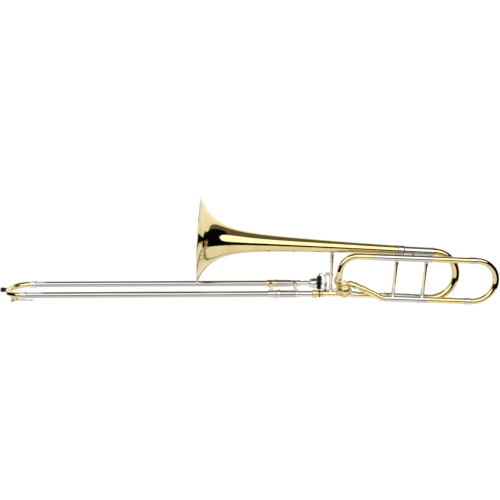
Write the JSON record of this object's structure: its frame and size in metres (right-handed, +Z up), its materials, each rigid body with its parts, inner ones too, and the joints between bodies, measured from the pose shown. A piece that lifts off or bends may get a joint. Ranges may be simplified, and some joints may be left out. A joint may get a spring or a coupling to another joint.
{
  "type": "trombone",
  "caption": "Tenor trombone with an open-wrap F attachment: flared brass bell, chromed hand slide, rotary valve worked by a thumb lever, and mouthpiece.",
  "frame": {"origin": "on the lower slide tube's axis, at the joint of hand slide and bell section", "axes": "+X along the hand slide towards the tuning bows, +Y towards the mouthpiece tube, +Z up, towards the bell"},
  "size_m": [1.2616, 0.216, 0.2748],
  "materials": {
    "lacquered_brass": "polished yellow brass under clear lacquer",
    "red_brass": "polished brass, a little redder",
    "nickel_silver": "polished nickel silver",
    "chrome_plate": "bright chrome plate",
    "barrel_nickel": "nickel plate",
    "silver_plate": "bright silver plate",
    "black_rubber": "matt black rubber",
    "black_resin": "polished black resin",
    "dark_leather": "dark leather",
    "cork": "cork",
    "spring_steel": "drawn spring wire"
  },
  "bodies": {
    "bell_section": {"bell": "lacquered_brass", "bell_ferrule": "nickel_silver", "upper_tuning_sleeve": "nickel_silver", "lower_tuning_sleeve": "nickel_silver", "main_outlet_pipe": "lacquered_brass", "f_supply_pipe": "lacquered_brass", "f_return_pipe": "lacquered_brass", "f_upper_sleeve": "nickel_silver", "f_lower_sleeve": "nickel_silver", "f_brace_rods": "lacquered_brass", "f_brace_feet": "nickel_silver", "side_stays": "lacquered_brass", "slide_receiver": "lacquered_brass", "neckpipe": "lacquered_brass", "bell_brace_post": "lacquered_brass", "bell_brace_feet": "nickel_silver", "clamp_band": "dark_leather", "valve_casing": "lacquered_brass", "valve_knuckles": "lacquered_brass", "pipe_ferrules": "nickel_silver", "bearing_plate": "red_brass", "valve_cap": "lacquered_brass", "stop_plate": "nickel_silver", "stop_bumpers": "black_rubber", "pivot_rod": "nickel_silver", "pivot_mounts": "nickel_silver", "lever_spring": "spring_steel", "inner_tubes": "chrome_plate", "slide_stockings": "chrome_plate", "barrel_upper": "barrel_nickel", "barrel_lower": "barrel_nickel", "barrel_corks": "cork", "inner_brace": "nickel_silver", "mouthpiece_receiver": "nickel_silver", "leadpipe": "red_brass", "slide_tenon": "nickel_silver"},
    "hand_slide": {"outer_tube_upper": "chrome_plate", "outer_tube_lower": "chrome_plate", "slide_bow": "lacquered_brass", "slide_bow_ferrules": "nickel_silver", "bow_bumper": "black_rubber", "outer_brace": "nickel_silver", "water_key_mount": "lacquered_brass", "water_key_spring": "spring_steel"},
    "water_key": {"water_key_lever": "nickel_silver", "water_key_cork": "cork"},
    "main_tuning_slide": {"main_tuning_legs": "nickel_silver", "main_bow_ferrules": "red_brass", "main_tuning_bow": "lacquered_brass"},
    "f_tuning_slide": {"f_slide_legs": "nickel_silver", "f_bow_ferrules": "nickel_silver", "f_tuning_bow": "lacquered_brass"},
    "thumb_lever": {"thumb_lever": "nickel_silver", "finger_roller": "black_resin"},
    "rotor": {"rotor": "red_brass", "stop_arm": "nickel_silver"},
    "link_rod": {"link_rod": "nickel_silver"},
    "slide_lock": {"slide_lock": "nickel_silver"},
    "lock_nut": {"lock_nut": "lacquered_brass"},
    "mouthpiece": {"mouthpiece": "silver_plate"}
  },
  "joints": [
    {"name": "hand_slide_travel", "type": "slide", "parent": "bell_section", "child": "hand_slide", "axis": [-1, 0, 0], "range_m": [0, 0.58]},
    {"name": "water_key_hinge", "type": "hinge", "parent": "hand_slide", "child": "water_key", "pos_m": [-0.758, 0.0015, -0.013], "axis": [0, -1, 0], "range_deg": [0, 5], "stiffness_Nm_per_rad": 0.3, "springref_deg": -5.73},
    {"name": "main_tuning_travel", "type": "slide", "parent": "bell_section", "child": "main_tuning_slide", "axis": [0.9983, 0, -0.0576], "range_m": [0, 0.06]},
    {"name": "f_tuning_travel", "type": "slide", "parent": "bell_section", "child": "f_tuning_slide", "axis": [0.999, 0, -0.0436], "range_m": [0, 0.08]},
    {"name": "thumb_lever_pivot", "type": "hinge", "parent": "bell_section", "child": "thumb_lever", "pos_m": [0.0205, 0, 0.03], "axis": [0, 0, 1], "range_deg": [0, 30], "stiffness_Nm_per_rad": 0.4, "springref_deg": -20.05},
    {"name": "rotor_turn", "type": "hinge", "parent": "bell_section", "child": "rotor", "pos_m": [0.067, 0, 0.0135], "axis": [0, 1, 0], "range_deg": [0, 90]},
    {"name": "link_swing", "type": "hinge", "parent": "rotor", "child": "link_rod", "pos_m": [0.07548, 0.032, 0.00502], "axis": [0, 1, 0], "range_deg": [-90, 0]},
    {"name": "slide_lock_turn", "type": "hinge", "parent": "bell_section", "child": "slide_lock", "pos_m": [-0.098, 0, 0], "axis": [-1, 0, 0], "range_deg": [0, 28]},
    {"name": "lock_nut_turn", "type": "hinge", "parent": "bell_section", "child": "lock_nut", "pos_m": [-0.006, 0, 0], "axis": [1, 0, 0], "continuous": true},
    {"name": "mouthpiece_pull", "type": "slide", "parent": "bell_section", "child": "mouthpiece", "axis": [1, 0, 0], "range_m": [0, 0.05]}
  ],
  "couplings": [
    {"joint": "rotor_turn", "follows": "thumb_lever_pivot", "ratio": 3},
    {"joint": "link_swing", "follows": "thumb_lever_pivot", "ratio": -3}
  ]
}
